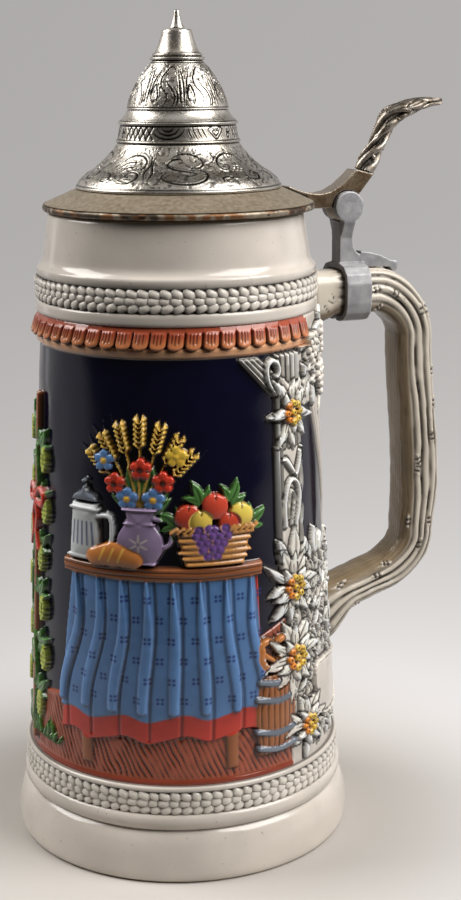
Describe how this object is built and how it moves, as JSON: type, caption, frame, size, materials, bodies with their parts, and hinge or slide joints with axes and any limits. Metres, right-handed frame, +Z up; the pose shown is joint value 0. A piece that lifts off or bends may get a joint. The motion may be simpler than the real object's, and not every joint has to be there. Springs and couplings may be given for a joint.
{
  "type": "beer stein",
  "caption": "Tall tapered stoneware drinking vessel with a bark-ribbed side handle and a hinged pewter steeple lid opened by a thumb lever.",
  "frame": {"origin": "centre of the flat underside, on the vessel axis, where the stein stands", "axes": "+Z up along the vessel axis; +X towards the handle and the lid hinge"},
  "size_m": [0.1534, 0.1138, 0.272],
  "materials": {
    "stoneware": "clear salt glaze over painted relief",
    "bark_stoneware": "glaze with dark wash in the bark grooves",
    "grey_pewter": "cast pewter, dull grey",
    "pin_steel": "drawn wire",
    "antique_pewter": "cast pewter with dark brown patina",
    "worn_pewter": "turned pewter, dull beige with a worn edge",
    "bright_pewter": "stamped and polished, with dark recesses"
  },
  "bodies": {
    "vessel": {"stein_body": "stoneware", "handle": "bark_stoneware", "hinge_strap": "grey_pewter", "hinge_pin": "pin_steel"},
    "lid": {"lid_arm": "antique_pewter", "thumblift": "antique_pewter", "lid_rim": "worn_pewter", "steeple_skirt": "bright_pewter", "steeple_dome": "bright_pewter", "lid_finial": "bright_pewter"}
  },
  "joints": [
    {"name": "lid_hinge", "type": "hinge", "parent": "vessel", "child": "lid", "pos_m": [0.06, 0, 0.2085], "axis": [0, 1, 0], "range_deg": [0, 90]}
  ]
}
